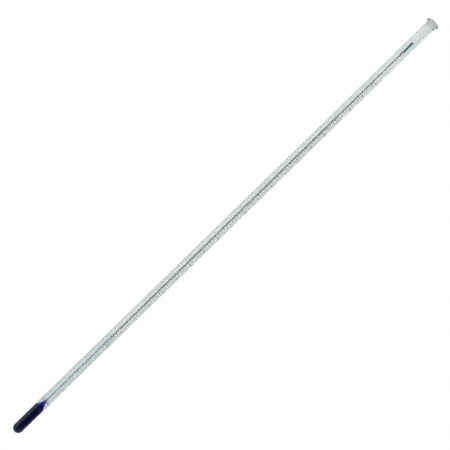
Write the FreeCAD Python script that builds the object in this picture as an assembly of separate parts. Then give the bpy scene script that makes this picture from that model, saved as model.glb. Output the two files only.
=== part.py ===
"""Solid-stem spirit thermometer, 0 to 100 degrees Celsius.

Frame: millimetres, +Z up the stem, origin at the tip of the bulb.
The scale faces -Y. Azimuths are in degrees, 0 at -Y and 90 at +X.
"""
import FreeCAD, Part
import os
from math import atan2, cos, degrees, hypot, pi, radians, sin

# Glass
TOTAL_LENGTH = 300.0
STEM_RADIUS = 2.8
BULB_RADIUS = 2.75
BULB_WALL = 0.35
TIP_WALL = 0.75
BULB_TOP_Z = 15.8            # where the bulb is fused to the stem
STEM_FULL_Z = 19.0           # where the stem reaches its full radius
STEM_TOP_Z = 296.0           # where the button is fused to the stem

# Hollow inside the glass
BORE_RADIUS = 0.275
NECK_Z = 24.0                # the funnel over the bulb ends here
NECK_WAIST = ((1.98, 17.7), (1.3, 19.6), (0.72, 21.4))   # radius and height of the funnel's wall
CHAMBER_RADIUS = 0.45
CHAMBER_FOOT_Z = 274.2
CHAMBER_TAPER = 1.6
CHAMBER_TOP_Z = 284.6

# Button on the top end
BUTTON_RADIUS = 3.65
BUTTON_RIM_Z = 298.4
BUTTON_SHOULDER = (3.3, 299.45)
BUTTON_FLAT_RADIUS = 1.6

# White strip in the glass behind the bore
STRIP_INNER_RADIUS = 1.95
STRIP_OUTER_RADIUS = 2.2
STRIP_HALF_ANGLE = 48.0
STRIP_FOOT_Z = 21.5

# Spirit
HEAD_RADIUS = 0.255          # runs in the bore with 0.02 all round
HEAD_LENGTH = 5.0
HEAD_MENISCUS = 0.15         # depth of the hollow in its top
READING = 2.5                # degrees Celsius, as stored
CHAMBER_SPIRIT_FOOT_Z = 277.3
CHAMBER_MENISCUS = 0.3

# Scale
ZERO_Z = 64.6
FIRST_DEGREE = 2.0           # length of a degree at zero
DEGREE_LOSS = 0.00087        # the degrees close up towards the top
SCALE_TOP = 100
LINE_WIDTH = 0.2
LONG_LINE_ANGLE = 62.0
SHORT_LINE_ANGLE = 30.0
LONG_LINE_STEP = 5
NUMERAL_STEP = 10
INK_HEIGHT = 0.03            # how far the ink stands out of the glass
INK_DEPTH = 0.01             # how far it is fired into the glass

# Numerals
FIGURE_HEIGHT = 1.7
FIGURE_WIDTH = 0.95
FIGURE_GAP = 0.32
FIGURE_STROKE = 0.2
NUMERAL_AZIMUTH = 72.0       # where each number begins
UNIT_MARK_RISE = 7.0         # height of the unit mark over the top line

AXIS = FreeCAD.Vector(0, 0, 1)
ORIGIN = FreeCAD.Vector(0, 0, 0)


def point(radius, z):
    """A point of a turned profile."""
    return FreeCAD.Vector(radius, 0, z)


def line(start, end):
    return Part.LineSegment(point(*start), point(*end)).toShape()


def arc(start, middle, end):
    return Part.Arc(point(*start), point(*middle), point(*end)).toShape()


def curve(start, between, end, start_slope, end_slope):
    """A smooth profile curve with given directions at its two ends."""
    spline = Part.BSplineCurve()
    spline.interpolate(
        Points=[point(*p) for p in (start, *between, end)],
        InitialTangent=point(*start_slope),
        FinalTangent=point(*end_slope),
    )
    return spline.toShape()


def turned(edges):
    """Solid made by turning a closed profile around the stem's axis."""
    face = Part.Face(Part.Wire(edges))
    solid = face.revolve(ORIGIN, AXIS, 360)
    return Part.Solid(solid.Shells[0]) if solid.ShapeType != "Solid" else solid


def slab(low, high):
    """A disc wider than the stem, to cut a length out of a turned solid."""
    return Part.makeCylinder(BUTTON_RADIUS + 1, high - low, point(0, low))


def around(radius, azimuth, z):
    """A point at an azimuth measured from -Y towards +X."""
    angle = radians(azimuth)
    return FreeCAD.Vector(radius * sin(angle), -radius * cos(angle), z)


def scale_z(temperature):
    """Height of a temperature on the scale."""
    return ZERO_Z + FIRST_DEGREE * temperature - DEGREE_LOSS * temperature ** 2


def hollow():
    """Everything inside the glass: bulb, funnel, bore and top chamber."""
    radius = BULB_RADIUS - BULB_WALL
    waist_45 = radius * (1 - cos(pi / 4))
    chamber_straight = CHAMBER_FOOT_Z + CHAMBER_TAPER
    chamber_shoulder = CHAMBER_TOP_Z - CHAMBER_RADIUS
    dome_45 = CHAMBER_RADIUS * sin(pi / 4)
    return turned([
        arc((0, TIP_WALL), (radius * sin(pi / 4), TIP_WALL + waist_45), (radius, TIP_WALL + radius)),
        line((radius, TIP_WALL + radius), (radius, BULB_TOP_Z)),
        curve((radius, BULB_TOP_Z), NECK_WAIST, (BORE_RADIUS, NECK_Z), (0, 1), (0, 1)),
        line((BORE_RADIUS, NECK_Z), (BORE_RADIUS, CHAMBER_FOOT_Z)),
        curve((BORE_RADIUS, CHAMBER_FOOT_Z), [], (CHAMBER_RADIUS, chamber_straight), (0, 1), (0, 1)),
        line((CHAMBER_RADIUS, chamber_straight), (CHAMBER_RADIUS, chamber_shoulder)),
        arc((CHAMBER_RADIUS, chamber_shoulder), (dome_45, chamber_shoulder + dome_45), (0, CHAMBER_TOP_Z)),
        line((0, CHAMBER_TOP_Z), (0, TIP_WALL)),
    ])


def strip():
    """Curved white strip that backs the bore."""
    half = STRIP_HALF_ANGLE
    low = STRIP_FOOT_Z
    corners = [
        around(STRIP_INNER_RADIUS, 180 - half, low),
        around(STRIP_INNER_RADIUS, 180, low),
        around(STRIP_INNER_RADIUS, 180 + half, low),
        around(STRIP_OUTER_RADIUS, 180 + half, low),
        around(STRIP_OUTER_RADIUS, 180, low),
        around(STRIP_OUTER_RADIUS, 180 - half, low),
    ]
    edges = [
        Part.Arc(*corners[0:3]).toShape(),
        Part.LineSegment(corners[2], corners[3]).toShape(),
        Part.Arc(*corners[3:6]).toShape(),
        Part.LineSegment(corners[5], corners[0]).toShape(),
    ]
    return Part.Face(Part.Wire(edges)).extrude(point(0, STEM_TOP_Z - low))


def stem(inside, backing):
    """Thick-walled capillary tube, with the funnel, bore and chamber in it."""
    outside = turned([
        line((0, BULB_TOP_Z), (BULB_RADIUS, BULB_TOP_Z)),
        curve((BULB_RADIUS, BULB_TOP_Z), [], (STEM_RADIUS, STEM_FULL_Z), (0, 1), (0, 1)),
        line((STEM_RADIUS, STEM_FULL_Z), (STEM_RADIUS, STEM_TOP_Z)),
        line((STEM_RADIUS, STEM_TOP_Z), (0, STEM_TOP_Z)),
        line((0, STEM_TOP_Z), (0, BULB_TOP_Z)),
    ])
    return outside.cut(inside).cut(backing)


def bulb(inside):
    """Thin-walled bulb with a round end."""
    side = BULB_RADIUS * sin(pi / 4)
    outside = turned([
        arc((0, 0), (side, BULB_RADIUS - side), (BULB_RADIUS, BULB_RADIUS)),
        line((BULB_RADIUS, BULB_RADIUS), (BULB_RADIUS, BULB_TOP_Z)),
        line((BULB_RADIUS, BULB_TOP_Z), (0, BULB_TOP_Z)),
        line((0, BULB_TOP_Z), (0, 0)),
    ])
    return outside.cut(inside)


def top_button():
    """Solid glass end, pressed out into a flange with a rounded rim."""
    return turned([
        line((0, STEM_TOP_Z), (STEM_RADIUS, STEM_TOP_Z)),
        curve((STEM_RADIUS, STEM_TOP_Z), [], (BUTTON_RADIUS, BUTTON_RIM_Z), (0, 1), (0.5, 1)),
        curve(
            (BUTTON_RADIUS, BUTTON_RIM_Z),
            [BUTTON_SHOULDER],
            (BUTTON_FLAT_RADIUS, TOTAL_LENGTH),
            (0.5, 1),
            (-1, 0),
        ),
        line((BUTTON_FLAT_RADIUS, TOTAL_LENGTH), (0, TOTAL_LENGTH)),
        line((0, TOTAL_LENGTH), (0, STEM_TOP_Z)),
    ])


def hollow_end(radius, foot, top, depth):
    """Round plug whose end at height top is hollowed by a shallow meniscus."""
    rise = 1 if top > foot else -1
    plug = Part.makeCylinder(radius, abs(top - foot), point(0, min(foot, top)))
    ball_radius = (radius ** 2 + depth ** 2) / (2 * depth)
    ball = Part.makeSphere(ball_radius, point(0, top + rise * (ball_radius - depth)))
    return plug.cut(ball)


def bulb_spirit(inside):
    """Spirit that fills the bulb and the funnel over it."""
    return inside.common(slab(0, NECK_Z))


def spirit_thread():
    """Spirit in the bore, from the funnel to the moving head."""
    top = scale_z(READING) - HEAD_LENGTH
    return Part.makeCylinder(BORE_RADIUS, top - NECK_Z, point(0, NECK_Z))


def thread_head():
    """The top of the thread, which moves along the bore."""
    top = scale_z(READING)
    return hollow_end(HEAD_RADIUS, top - HEAD_LENGTH, top, HEAD_MENISCUS)


def chamber_spirit(inside):
    """Spirit that is caught in the top chamber, with a meniscus underneath."""
    plug = inside.common(slab(CHAMBER_SPIRIT_FOOT_Z, CHAMBER_TOP_Z))
    above = hollow_end(CHAMBER_RADIUS + 0.1, CHAMBER_TOP_Z + 1, CHAMBER_SPIRIT_FOOT_Z, CHAMBER_MENISCUS)
    return plug.common(above)


def scale_line(temperature, sweep):
    """One line of ink across the front of the stem, from azimuth 0."""
    z = scale_z(temperature)
    inner = STEM_RADIUS - INK_DEPTH
    outer = STEM_RADIUS + INK_HEIGHT
    low = z - LINE_WIDTH / 2
    high = z + LINE_WIDTH / 2
    corners = [around(inner, 0, low), around(outer, 0, low), around(outer, 0, high), around(inner, 0, high)]
    face = Part.Face(Part.makePolygon(corners + corners[:1]))
    return face.revolve(ORIGIN, AXIS, sweep)


def lines(temperatures, sweep):
    return Part.makeCompound([scale_line(t, sweep) for t in temperatures])


def bow(x, z, width, height, start, end, steps=8):
    """Points on part of an ellipse, with angles in degrees from +x."""
    turn = (end - start) / steps
    angles = [radians(start + turn * i) for i in range(steps + 1)]
    return [(x + width * cos(a), z + height * sin(a)) for a in angles]


# Each figure is a few strokes in a box 1 wide and 1 high, with its foot at 0.
FIGURES = {
    "0": [bow(0.5, 0.5, 0.42, 0.5, 90, 450, 16)],
    "1": [[(0.2, 0.78), (0.55, 1.0), (0.55, 0.0)]],
    "2": [bow(0.5, 0.72, 0.38, 0.28, 165, -40) + [(0.1, 0.0), (0.92, 0.0)]],
    "3": [bow(0.45, 0.75, 0.38, 0.25, 155, -90), bow(0.45, 0.25, 0.43, 0.25, 90, -155)],
    "4": [[(0.95, 0.28), (0.05, 0.28), (0.7, 1.0), (0.7, 0.0)]],
    "5": [[(0.85, 1.0), (0.22, 1.0), (0.16, 0.54)] + bow(0.47, 0.31, 0.41, 0.31, 120, -150)],
    "6": [bow(0.5, 0.3, 0.4, 0.3, 90, 450, 14), bow(0.9, 0.34, 0.8, 0.66, 180, 105)],
    "7": [[(0.08, 1.0), (0.92, 1.0), (0.38, 0.0)]],
    "8": [bow(0.5, 0.76, 0.34, 0.24, 90, 450, 12), bow(0.5, 0.26, 0.41, 0.26, 90, 450, 14)],
    "9": [bow(0.5, 0.7, 0.4, 0.3, 90, 450, 14), bow(0.1, 0.66, 0.8, 0.66, 0, -75)],
    "degree": [bow(0.6, 0.84, 0.24, 0.15, 90, 450, 12)],
    "C": [bow(0.52, 0.5, 0.44, 0.5, 45, 315, 14)],
}


def stroke(path):
    """Flat ribbon along a path, with round ends, in the plane y = 0."""
    half = FIGURE_STROKE / 2
    pieces = []
    for (x0, z0), (x1, z1) in zip(path, path[1:]):
        length = hypot(x1 - x0, z1 - z0)
        bar = Part.makePlane(length, 2 * half, FreeCAD.Vector(0, -half, 0))
        bar.rotate(ORIGIN, AXIS, degrees(atan2(z1 - z0, x1 - x0)))
        bar.translate(FreeCAD.Vector(x0, z0, 0))
        pieces.append(bar)
    for x, z in path:
        dot = Part.makeCircle(half, FreeCAD.Vector(x, z, 0))
        pieces.append(Part.Face(Part.Wire(dot)))
    return pieces


def figure(name, azimuth, z):
    """One printed figure, laid on the stem with its left edge at an azimuth."""
    centre = azimuth + degrees(FIGURE_WIDTH / 2 / STEM_RADIUS)
    pieces = []
    for path in FIGURES[name]:
        sized = [((x - 0.5) * FIGURE_WIDTH, (y - 0.5) * FIGURE_HEIGHT) for x, y in path]
        pieces += stroke(sized)
    flat = pieces[0].multiFuse(pieces[1:]).removeSplitter()
    block = flat.extrude(FreeCAD.Vector(0, 0, STEM_RADIUS * 2))
    block.rotate(ORIGIN, FreeCAD.Vector(1, 0, 0), 90)
    block.rotate(ORIGIN, AXIS, centre)
    block.translate(FreeCAD.Vector(0, 0, z))
    outer = Part.makeCylinder(STEM_RADIUS + INK_HEIGHT, FIGURE_HEIGHT * 2, point(0, z - FIGURE_HEIGHT))
    inner = Part.makeCylinder(STEM_RADIUS - INK_DEPTH, FIGURE_HEIGHT * 2, point(0, z - FIGURE_HEIGHT))
    return block.common(outer.cut(inner))


def lettering(names, z):
    """Figures side by side around the stem."""
    step = degrees((FIGURE_WIDTH + FIGURE_GAP) / STEM_RADIUS)
    return Part.makeCompound([figure(n, NUMERAL_AZIMUTH + step * i, z) for i, n in enumerate(names)])


def build():
    inside = hollow()
    backing = strip()
    long_marks = range(0, SCALE_TOP + 1, LONG_LINE_STEP)
    short_marks = [t for t in range(SCALE_TOP) if t % LONG_LINE_STEP]
    parts = {
        "stem": stem(inside, backing),
        "bulb": bulb(inside),
        "top_button": top_button(),
        "backing_strip": backing,
        "bulb_spirit": bulb_spirit(inside),
        "spirit_thread": spirit_thread(),
        "thread_head": thread_head(),
        "chamber_spirit": chamber_spirit(inside),
        "five_degree_lines": lines(long_marks, LONG_LINE_ANGLE),
        "one_degree_lines": lines(short_marks, SHORT_LINE_ANGLE),
        "unit_mark": lettering(["degree", "C"], scale_z(SCALE_TOP) + UNIT_MARK_RISE),
    }
    for temperature in range(0, SCALE_TOP + 1, NUMERAL_STEP):
        parts[f"numeral_{temperature}"] = lettering(str(temperature), scale_z(temperature))
    return parts


os.makedirs("parts", exist_ok=True)
for name, shape in build().items():
    shape.exportStep(f"parts/{name}.step")
    box = shape.BoundBox
    print(
        f"{name:18s} solids {len(shape.Solids):3d} volume {shape.Volume:10.4f}",
        f"valid {shape.isValid()} z {box.ZMin:8.3f} {box.ZMax:8.3f}",
    )
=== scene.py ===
"""Looks of a solid-stem glass spirit thermometer, in metres, in the frame of its CAD model.

The stem is one rod of clear glass, as in the real thing. What lies inside it is modelled as the
surfaces where glass meets spirit or gas, each with its index relative to glass.
"""
from math import cos, pi, radians, sin

import bpy
from mathutils import Matrix, Vector

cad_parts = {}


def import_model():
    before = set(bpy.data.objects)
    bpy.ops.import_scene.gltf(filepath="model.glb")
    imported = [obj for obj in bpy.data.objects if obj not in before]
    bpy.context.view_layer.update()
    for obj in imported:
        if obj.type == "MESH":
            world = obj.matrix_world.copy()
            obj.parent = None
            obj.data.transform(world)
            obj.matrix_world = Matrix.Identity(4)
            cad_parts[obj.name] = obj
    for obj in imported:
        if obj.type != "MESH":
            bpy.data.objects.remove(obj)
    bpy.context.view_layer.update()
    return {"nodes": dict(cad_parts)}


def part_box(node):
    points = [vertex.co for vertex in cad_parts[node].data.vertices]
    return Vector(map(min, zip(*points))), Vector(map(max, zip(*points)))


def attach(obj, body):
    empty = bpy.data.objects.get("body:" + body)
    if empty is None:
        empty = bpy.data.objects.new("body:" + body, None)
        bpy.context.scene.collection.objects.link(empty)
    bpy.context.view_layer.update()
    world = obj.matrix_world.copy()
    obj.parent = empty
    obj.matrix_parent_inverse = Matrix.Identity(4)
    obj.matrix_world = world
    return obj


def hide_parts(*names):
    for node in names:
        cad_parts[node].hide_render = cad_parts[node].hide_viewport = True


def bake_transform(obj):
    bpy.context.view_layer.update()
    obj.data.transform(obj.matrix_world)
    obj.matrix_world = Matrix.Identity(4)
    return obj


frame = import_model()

MM = 0.001
NODES = frame["nodes"]
ROOT = "thermometer"

# ---------------------------------------------------------------- sizes, from the frame


def node_span(node):
    """Largest radius, lowest height and highest height of a turned CAD node."""
    low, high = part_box(node)
    return high.x, low.z, high.z


STEM_R, BULB_TOP, STEM_TOP = node_span("stem")
BULB_R = node_span("bulb")[0]
RESERVOIR_R, RESERVOIR_FOOT, NECK = node_span("bulb_spirit")
BORE_R = node_span("spirit_thread")[0]
THREAD_TOP = node_span("thread_head")[2]
CHAMBER_R, CHAMBER_FILL, CHAMBER_TOP = node_span("chamber_spirit")
BUTTON_R, _, TOP = node_span("top_button")

# ---------------------------------------------------------------- sizes the frame doesn't hold
# Points on a profile are (radius, height).

STEM_FULL = 19.0 * MM            # the stem has its full radius from here up
FUNNEL = ((1.98 * MM, 17.7 * MM), (1.3 * MM, 19.6 * MM), (0.72 * MM, 21.4 * MM))
CHAMBER_FOOT = 274.2 * MM        # the bore widens into the chamber from here
CHAMBER_FULL = 275.8 * MM        # to here
BUTTON_RIM = 298.5 * MM          # height of the flange's widest edge
BUTTON_SHOULDER = (3.3 * MM, 299.45 * MM)
BUTTON_FLAT = 1.6 * MM           # radius of the flat end
THREAD_MENISCUS = 0.15 * MM      # depths of the dished surfaces
CHAMBER_MENISCUS = 0.2 * MM
RIGID = 1.0 * MM                 # length beside the thread's surface that moves but doesn't stretch
FILM = 0.02 * MM                 # glass left between two surfaces that would coincide

# ---------------------------------------------------------------- mesh density

GLASS_SIDES = 96
SPIRIT_SIDES = 64
FINE_SIDES = 48                  # of the gas and the caught spirit
BULB_PITCH = 3.0 * MM            # lengths of the faces on straight stretches
STEM_PITCH = 4.0 * MM            # also those of the thread and the gas
RESERVOIR_PITCH = 2.0 * MM
CHAMBER_PITCH = 1.0 * MM
CREASE = radians(40)             # edges that turn by more than this are shaded sharp
ON_AXIS = 1e-7                   # a radius under this is a point on the axis

# ---------------------------------------------------------------- finishes
# Absorption and dye are (colour, density per metre). The five grains at the end are how many
# features a metre holds along x, y and z.

GLASS_IOR = 1.5
SPIRIT_IOR = 1.36
GLASS_COLOUR = (0.97, 0.985, 0.98)
GLASS_SHADOW = (0.95, 0.96, 0.96)
GLASS_ABSORPTION = ((0.8, 0.95, 0.9), 15.0)
INNER_SHADOW = (0.97, 0.97, 0.97)
# painted shade: a grey tint on the gas's wall, which darkens the empty bore
GAS_PAINTED_SHADE = (0.60, 0.63, 0.62)
RESERVOIR_DYE = ((0.0, 0.13, 0.69), 2300.0)
BORE_DYE = ((0.0, 0.27, 0.42), 1900.0)
CAUGHT_DYE = ((0.0, 0.36, 0.48), 2900.0)
OPAL_DARK = (0.83, 0.85, 0.84)
OPAL_PALE = (0.89, 0.90, 0.89)
INK_DARK = (0.012, 0.014, 0.016)
INK_WORN = (0.10, 0.11, 0.11)
DRAW_LINES = (2600, 2600, 25)
GLASS_CLOUD = (300, 300, 60)
BORE_RIPPLE = (1500, 1500, 40)
OPAL_CLOUD = (900, 900, 60)
INK_GRAIN = (9000, 9000, 9000)

# ---------------------------------------------------------------- studio

FLAG = 0.14                      # radiance of the dark flag in front of the object
FLAG_AZIMUTH = 25.0              # of the flag's middle, from -Y towards +X, in degrees
FLAG_EDGE = (-0.64, -0.53)       # its soft edge, as cosines from the direction opposite its middle
SIDES = 0.42                     # radiance of the studio's sides
BACKDROP = 0.35                  # how much more the wall behind the object sends
BACKDROP_EDGE = (0.1, 0.6)       # its soft edge, as cosines from straight behind
FLOOR_FRONT = 0.35               # radiance of the floor on the object, in front of it
FLOOR_BACK = 0.65                # and behind it
FLOOR_SEAM = 0.1                 # half the depth over which the one turns into the other
FLOOR_SIDE = 1.2                 # half the floor's width
FLOOR_LEVEL = -0.35
FLOOR_GLOW = 0.75                # lifts the floor to white for the camera
LENS = 100.0
SENSOR = 36.0
FRAME_WIDTH = 230.03 * MM        # width of what the camera sees at the axis
ROLL = 45.71                     # how far the stem leans in the picture, in degrees
AIM_X = -0.43 * MM               # what the middle of the picture looks at, beside the stem's middle
AIM_Z = 0.76 * MM
GLASS_BOUNCES = 24
GLOSS_BOUNCES = 12

# ---------------------------------------------------------------- mesh helpers


def arc(middle, radius, start, end, steps=16):
    """Points on an arc around a point on the axis, angles in degrees from the horizontal."""
    out = []
    for i in range(steps + 1):
        a = radians(start + (end - start) * i / steps)
        out.append((radius * cos(a), middle + radius * sin(a)))
    return out


def flow(points, first, last, steps=12):
    """A smooth profile through points, with given directions at its ends."""
    p = [Vector(q) for q in points]
    slopes = [Vector(first).normalized() * (p[1] - p[0]).length]
    slopes += [(b - a) / 2 for a, b in zip(p, p[2:])]
    slopes += [Vector(last).normalized() * (p[-1] - p[-2]).length]
    out = []
    for i in range(len(p) - 1):
        for j in range(steps):
            t = j / steps
            out.append(tuple(
                p[i] * (2 * t ** 3 - 3 * t ** 2 + 1)
                + slopes[i] * (t ** 3 - 2 * t ** 2 + t)
                + p[i + 1] * (3 * t ** 2 - 2 * t ** 3)
                + slopes[i + 1] * (t ** 3 - t ** 2)
            ))
    return out + [tuple(p[-1])]


def run(radius, low, high, pitch):
    """Inner points of a straight stretch, which keep its faces from growing too long."""
    count = max(1, round((high - low) / pitch))
    return [(radius, low + (high - low) * i / count) for i in range(1, count)]


def meniscus(radius, edge, depth, steps=8):
    """Dished surface from the wall to the axis; depth is how far its middle lies below its edge."""
    out = []
    for i in range(1, steps + 1):
        inward = 1 - i / steps
        out.append((radius * inward, edge - depth * (1 - inward ** 2)))
    return out


def turned(name, profile, segments):
    """Closed mesh turned around the axis from a profile that runs from the bottom to the top."""
    rings = [(r, z) for r, z in profile if r > ON_AXIS]
    verts = [(0, 0, profile[0][1])]
    for r, z in rings:
        for k in range(segments):
            a = 2 * pi * k / segments
            verts.append((r * sin(a), -r * cos(a), z))
    verts.append((0, 0, profile[-1][1]))
    faces = []
    last = len(verts) - 1
    top = 1 + (len(rings) - 1) * segments
    for k in range(segments):
        n = (k + 1) % segments
        faces.append((0, 1 + n, 1 + k))
        faces.append((last, top + k, top + n))
        for i in range(len(rings) - 1):
            a = 1 + i * segments
            b = a + segments
            faces.append((a + k, a + n, b + n, b + k))
    mesh = bpy.data.meshes.new(name)
    mesh.from_pydata(verts, [], faces)
    mesh.validate()
    for polygon in mesh.polygons:
        polygon.use_smooth = True
    mesh.set_sharp_from_angle(angle=CREASE)
    piece = bpy.data.objects.new(name, mesh)
    bpy.context.scene.collection.objects.link(piece)
    return piece


# ---------------------------------------------------------------- material helpers


class Nodes:
    """A material's node tree with short calls for adding and joining nodes."""

    def __init__(self, name):
        self.material = bpy.data.materials.new(name)
        self.material.use_nodes = True
        self.tree = self.material.node_tree
        self.tree.nodes.clear()
        self.output = self.add("ShaderNodeOutputMaterial")

    def add(self, kind, **inputs):
        """A new node; an input's name has _ for its spaces."""
        node = self.tree.nodes.new(kind)
        for key, value in inputs.items():
            node.inputs[key.replace("_", " ")].default_value = value
        return node

    def join(self, source, target):
        """Links an output to an input."""
        self.tree.links.new(source, target)

    def surface(self, shader):
        """Makes a shader the material's surface."""
        self.join(shader.outputs[0], self.output.inputs["Surface"])

    def position(self, scale):
        """Object position, stretched by a scale for each axis."""
        place = self.add("ShaderNodeTexCoord")
        stretch = self.add("ShaderNodeVectorMath")
        stretch.operation = "MULTIPLY"
        stretch.inputs[1].default_value = scale
        self.join(place.outputs["Object"], stretch.inputs[0])
        return stretch.outputs["Vector"]

    def noise(self, grain, detail=3.0):
        """Noise over the piece."""
        texture = self.add("ShaderNodeTexNoise", Scale=1.0, Detail=detail, Roughness=0.55)
        self.join(self.position(grain), texture.inputs["Vector"])
        return texture.outputs["Fac"]

    def spread(self, value, low, high, from_low=0.3, from_high=0.7):
        """Maps a value to a range."""
        node = self.add("ShaderNodeMapRange")
        node.inputs["From Min"].default_value = from_low
        node.inputs["From Max"].default_value = from_high
        node.inputs["To Min"].default_value = low
        node.inputs["To Max"].default_value = high
        self.join(value, node.inputs["Value"])
        return node.outputs["Result"]

    def mix(self, factor, first, second):
        """A colour between two."""
        node = self.add("ShaderNodeMix")
        node.data_type = "RGBA"
        sockets = [s for s in node.inputs if s.type == "RGBA"]
        sockets[0].default_value = (*first, 1)
        sockets[1].default_value = (*second, 1)
        self.join(factor, node.inputs["Factor"])
        return [s for s in node.outputs if s.type == "RGBA"][0]

    def bump(self, height, strength, distance):
        """A normal that follows a height."""
        node = self.add("ShaderNodeBump", Strength=strength, Distance=distance)
        self.join(height, node.inputs["Height"])
        return node.outputs["Normal"]

    def by_ray(self, kind, other, shader):
        """Surface that is one shader for rays of a kind, and the other for the rest."""
        path = self.add("ShaderNodeLightPath")
        blend = self.add("ShaderNodeMixShader")
        self.join(path.outputs[kind], blend.inputs[0])
        self.join(other.outputs[0], blend.inputs[1])
        self.join(shader.outputs[0], blend.inputs[2])
        self.surface(blend)

    def passed(self, shader, tint):
        """Surface that lamps shine through with a tint."""
        clear = self.add("ShaderNodeBsdfTransparent", Color=(*tint, 1))
        self.by_ray("Is Shadow Ray", shader, clear)

    def absorb(self, colour, density):
        """Plain absorption inside the piece."""
        volume = self.add("ShaderNodeVolumeAbsorption", Density=density)
        volume.inputs["Color"].default_value = (*colour, 1)
        self.join(volume.outputs[0], self.output.inputs["Volume"])


def glass_material():
    """Clear soda glass: faint lengthwise draw lines, and a green tint where it is thick."""
    n = Nodes("clear_glass")
    shader = n.add("ShaderNodeBsdfPrincipled", IOR=GLASS_IOR)
    shader.inputs["Transmission Weight"].default_value = 1.0
    shader.inputs["Base Color"].default_value = (*GLASS_COLOUR, 1)
    lines = n.noise(DRAW_LINES, detail=2.0)
    n.join(n.bump(lines, strength=0.12, distance=0.02 * MM), shader.inputs["Normal"])
    n.join(n.spread(n.noise(GLASS_CLOUD), 0.0, 0.012), shader.inputs["Roughness"])
    n.passed(shader, GLASS_SHADOW)
    n.absorb(*GLASS_ABSORPTION)
    return n.material


def inner_surface(name, index, colour):
    """Surface inside the glass; index is that of what lies behind it over that of glass."""
    n = Nodes(name)
    shader = n.add("ShaderNodeBsdfGlass", IOR=index, Roughness=0.0)
    # for the gas this tint is painted shade that darkens the empty bore
    shader.inputs["Color"].default_value = (*colour, 1)
    ripple = n.noise(BORE_RIPPLE)
    n.join(n.bump(ripple, strength=0.05, distance=0.01 * MM), shader.inputs["Normal"])
    n.passed(shader, INNER_SHADOW)
    return n


def spirit_material(name, colour, density):
    """Dyed spirit, pale where it is thin and nearly black where it is thick."""
    n = inner_surface(name, SPIRIT_IOR / GLASS_IOR, (1, 1, 1))
    n.absorb(colour, density)
    return n.material


def gas_material():
    """Gas, whose wall gets a grey tint of painted shade, so the empty bore shows as a dark line."""
    return inner_surface("bore_gas", 1 / GLASS_IOR, GAS_PAINTED_SHADE).material


def opal_material():
    """White opal glass with a little variation along the draw."""
    n = Nodes("opal_glass")
    shader = n.add("ShaderNodeBsdfPrincipled", Roughness=0.35)
    shader.inputs["Specular IOR Level"].default_value = 0.1
    cloud = n.spread(n.noise(OPAL_CLOUD), 0, 1)
    n.join(n.mix(cloud, OPAL_DARK, OPAL_PALE), shader.inputs["Base Color"])
    n.surface(shader)
    return n.material


def ink_material():
    """Fired black scale ink, thinner and rougher in places."""
    n = Nodes("scale_ink")
    shader = n.add("ShaderNodeBsdfPrincipled")
    wear = n.spread(n.noise(INK_GRAIN, detail=5.0), 0, 1, 0.45, 0.75)
    n.join(n.mix(wear, INK_DARK, INK_WORN), shader.inputs["Base Color"])
    n.join(n.spread(wear, 0.35, 0.7, 0, 1), shader.inputs["Roughness"])
    n.surface(shader)
    return n.material


def dress(piece, material):
    """Puts one material on every slot of a piece."""
    piece.data.materials.clear()
    piece.data.materials.append(material)


# ---------------------------------------------------------------- the glass


def glass_rod():
    """Bulb, stem and button, fused into one rod of glass."""
    profile = arc(BULB_R, BULB_R, -90, 0)
    profile += run(BULB_R, BULB_R, BULB_TOP, BULB_PITCH)
    profile += flow([(BULB_R, BULB_TOP), (STEM_R, STEM_FULL)], (0, 1), (0, 1))
    profile += run(STEM_R, STEM_FULL, STEM_TOP, STEM_PITCH)
    profile += flow([(STEM_R, STEM_TOP), (BUTTON_R, BUTTON_RIM)], (0, 1), (0.35, 1))
    end = [(BUTTON_R, BUTTON_RIM), BUTTON_SHOULDER, (BUTTON_FLAT, TOP)]
    profile += flow(end, (0.1, 1), (-1, 0))[1:]
    profile += [(0, TOP)]
    piece = turned("glass_body", profile, GLASS_SIDES)
    dress(piece, glass_material())
    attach(piece, ROOT)
    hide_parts("stem", "bulb", "top_button")


# ---------------------------------------------------------------- spirit and gas


def reservoir_spirit():
    """Spirit that fills the bulb and the funnel over it."""
    profile = arc(RESERVOIR_FOOT + RESERVOIR_R, RESERVOIR_R, -90, 0)
    profile += run(RESERVOIR_R, RESERVOIR_FOOT + RESERVOIR_R, BULB_TOP, RESERVOIR_PITCH)
    wall = [(RESERVOIR_R, BULB_TOP), *FUNNEL, (BORE_R, NECK - FILM)]
    profile += flow(wall, (0, 1), (0, 1))
    piece = turned("reservoir_spirit", profile, SPIRIT_SIDES)
    dress(piece, spirit_material("reservoir_spirit", *RESERVOIR_DYE))
    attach(piece, ROOT)
    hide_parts("bulb_spirit")


def bore_spirit():
    """Spirit thread from the funnel up, which ends in a dished surface."""
    profile = [(BORE_R, NECK)]
    profile += run(BORE_R, NECK, THREAD_TOP - RIGID, STEM_PITCH)
    profile += [(BORE_R, THREAD_TOP - RIGID), (BORE_R, THREAD_TOP)]
    profile += meniscus(BORE_R, THREAD_TOP, THREAD_MENISCUS)
    piece = turned("bore_spirit", profile, SPIRIT_SIDES)
    dress(piece, spirit_material("bore_spirit", *BORE_DYE))
    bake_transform(piece)
    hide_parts("spirit_thread", "thread_head")


def gas_column():
    """Gas between the thread and the caught spirit, in the bore and the foot of the chamber."""
    foot = THREAD_TOP + FILM
    profile = list(reversed(meniscus(BORE_R, foot, THREAD_MENISCUS)))
    profile += [(BORE_R, foot), (BORE_R, foot + RIGID)]
    profile += run(BORE_R, foot + RIGID, CHAMBER_FOOT, STEM_PITCH)
    profile += flow([(BORE_R, CHAMBER_FOOT), (CHAMBER_R, CHAMBER_FULL)], (0, 1), (0, 1))
    profile += [(CHAMBER_R, CHAMBER_FILL - FILM)]
    profile += meniscus(CHAMBER_R, CHAMBER_FILL - FILM, -CHAMBER_MENISCUS)
    piece = turned("bore_gas", profile, FINE_SIDES)
    dress(piece, gas_material())
    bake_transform(piece)


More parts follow.
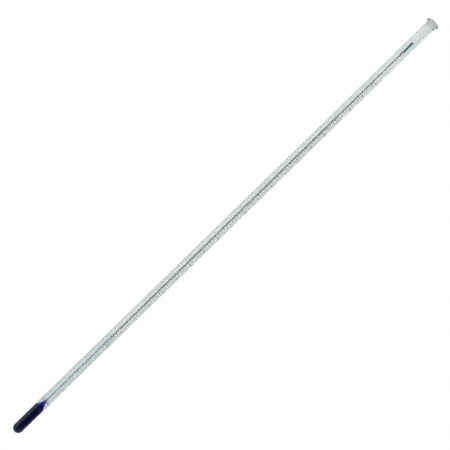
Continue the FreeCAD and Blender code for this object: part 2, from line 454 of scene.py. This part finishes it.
def caught_spirit():
    """Spirit that is caught in the top chamber, over the gas."""
    profile = list(reversed(meniscus(CHAMBER_R, CHAMBER_FILL, -CHAMBER_MENISCUS)))
    profile += [(CHAMBER_R, CHAMBER_FILL)]
    profile += run(CHAMBER_R, CHAMBER_FILL, CHAMBER_TOP - CHAMBER_R, CHAMBER_PITCH)
    profile += arc(CHAMBER_TOP - CHAMBER_R, CHAMBER_R, 0, 90)
    piece = turned("caught_spirit", profile, FINE_SIDES)
    piece.visible_shadow = False     # the strip behind it shows no shadow of it
    dress(piece, spirit_material("caught_spirit", *CAUGHT_DYE))
    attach(piece, ROOT)
    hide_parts("chamber_spirit")


# ---------------------------------------------------------------- print and strip


def dress_cad_nodes():
    """The strip and the print keep their CAD shapes and get their own materials."""
    dress(NODES["backing_strip"], opal_material())
    ink = ink_material()
    for name, node in NODES.items():
        if name.endswith("_lines") or name.startswith("numeral_") or name == "unit_mark":
            dress(node, ink)


# ---------------------------------------------------------------- stage, light and camera


def camera():
    """Camera level with the middle of the stem, straight in front, and rolled."""
    data = bpy.data.cameras.new("camera")
    data.lens = LENS
    data.sensor_width = SENSOR
    eye = bpy.data.objects.new("camera", data)
    bpy.context.scene.collection.objects.link(eye)
    distance = FRAME_WIDTH * LENS / SENSOR
    place = Matrix.Translation((AIM_X, -distance, TOP / 2 + AIM_Z))
    roll = Matrix.Rotation(radians(-ROLL), 4, "Y")
    upright = Matrix.Rotation(radians(90), 4, "X")
    eye.matrix_world = place @ roll @ upright
    bpy.context.scene.camera = eye


def directed(tree, vector, direction, edge, dark, bright):
    """Brightness that rises over an edge, given as cosines between a vector and a direction."""
    dot = tree.nodes.new("ShaderNodeVectorMath")
    dot.operation = "DOT_PRODUCT"
    dot.inputs[1].default_value = direction
    tree.links.new(vector, dot.inputs[0])
    ramp = tree.nodes.new("ShaderNodeMapRange")
    ramp.interpolation_type = "SMOOTHSTEP"
    ramp.inputs["From Min"].default_value = edge[0]
    ramp.inputs["From Max"].default_value = edge[1]
    ramp.inputs["To Min"].default_value = dark
    ramp.inputs["To Max"].default_value = bright
    tree.links.new(dot.outputs["Value"], ramp.inputs["Value"])
    return ramp.outputs["Result"]


def world():
    """White for the camera. For light: a dim studio, brighter behind, with a dark flag in front."""
    scene = bpy.context.scene
    scene.world = bpy.data.worlds.new("studio")
    scene.world.use_nodes = True
    tree = scene.world.node_tree
    tree.nodes.clear()
    output = tree.nodes.new("ShaderNodeOutputWorld")
    seen = tree.nodes.new("ShaderNodeBackground")
    seen.inputs["Color"].default_value = (1, 1, 1, 1)
    seen.inputs["Strength"].default_value = 1.0
    cast = tree.nodes.new("ShaderNodeBackground")
    place = tree.nodes.new("ShaderNodeTexCoord")
    looking = place.outputs["Generated"]
    flag = radians(FLAG_AZIMUTH)
    walls = directed(tree, looking, (-sin(flag), cos(flag), 0), FLAG_EDGE, FLAG, SIDES)
    behind = directed(tree, looking, (0, 1, 0), BACKDROP_EDGE, 0.0, BACKDROP)
    total = tree.nodes.new("ShaderNodeMath")
    total.operation = "ADD"
    tree.links.new(walls, total.inputs[0])
    tree.links.new(behind, total.inputs[1])
    tree.links.new(total.outputs[0], cast.inputs["Strength"])
    path = tree.nodes.new("ShaderNodeLightPath")
    mix = tree.nodes.new("ShaderNodeMixShader")
    tree.links.new(path.outputs["Is Camera Ray"], mix.inputs[0])
    tree.links.new(cast.outputs[0], mix.inputs[1])
    tree.links.new(seen.outputs[0], mix.inputs[2])
    tree.links.new(mix.outputs[0], output.inputs["Surface"])


def softbox(name, azimuth, height, distance, size, watts, mirrored=True):
    """Area lamp at an azimuth from -Y towards +X, facing the middle of the object."""
    data = bpy.data.lights.new(name, "AREA")
    data.shape = "RECTANGLE"
    data.size = size[0]
    data.size_y = size[1]
    data.energy = watts
    data.cycles.use_multiple_importance_sampling = mirrored
    lamp = bpy.data.objects.new(name, data)
    bpy.context.scene.collection.objects.link(lamp)
    angle = radians(azimuth)
    spot = Vector((distance * sin(angle), -distance * cos(angle), height))
    aim = Vector((0, 0, TOP / 2)) - spot
    lamp.location = spot
    lamp.rotation_mode = "QUATERNION"
    lamp.rotation_quaternion = aim.to_track_quat("-Z", "Y")


def floor():
    """Pale studio floor, well under the object; what it throws back on the glass is dimmer."""
    mesh = bpy.data.meshes.new("studio_floor")
    signs = ((-1, -1), (1, -1), (1, 1), (-1, 1))
    corners = [(FLOOR_SIDE * x, FLOOR_SIDE * y, FLOOR_LEVEL) for x, y in signs]
    mesh.from_pydata(corners, [], [(0, 1, 2, 3)])
    piece = bpy.data.objects.new("studio_floor", mesh)
    bpy.context.scene.collection.objects.link(piece)
    n = Nodes("studio_floor")
    seen = n.add("ShaderNodeBsdfPrincipled", Roughness=0.9)
    seen.inputs["Base Color"].default_value = (0.9, 0.9, 0.9, 1)
    seen.inputs["Emission Color"].default_value = (1, 1, 1, 1)
    seen.inputs["Emission Strength"].default_value = FLOOR_GLOW
    apart = n.add("ShaderNodeSeparateXYZ")
    n.join(n.position((1, 1, 1)), apart.inputs[0])
    depth = apart.outputs["Y"]
    level = n.spread(depth, FLOOR_FRONT, FLOOR_BACK, -FLOOR_SEAM, FLOOR_SEAM)
    dim = n.add("ShaderNodeEmission")
    n.join(level, dim.inputs["Strength"])
    n.by_ray("Is Camera Ray", dim, seen)
    dress(piece, n.material)


def studio():
    """Camera, world, floor and lamps."""
    camera()
    world()
    floor()
    softbox("key", -66, 0.15, 0.8, (0.55, 1.2), 1.7)
    softbox("edge", 125, 0.6, 1.0, (0.25, 0.5), 1.5)
    softbox("front", 5, -0.25, 1.6, (2.4, 0.7), 35.0, mirrored=False)
    softbox("behind", 185, -0.2, 2.2, (1.5, 1.5), 50.0, mirrored=False)


def light_paths():
    """Enough bounces for glass inside glass, without caustics, and colours shown as they are."""
    scene = bpy.context.scene
    scene.view_settings.view_transform = "Standard"
    scene.cycles.caustics_refractive = False
    scene.cycles.caustics_reflective = False
    scene.cycles.max_bounces = GLASS_BOUNCES
    scene.cycles.transmission_bounces = GLASS_BOUNCES
    scene.cycles.glossy_bounces = GLOSS_BOUNCES


studio()
glass_rod()
reservoir_spirit()
bore_spirit()
gas_column()
caught_spirit()
dress_cad_nodes()
light_paths()
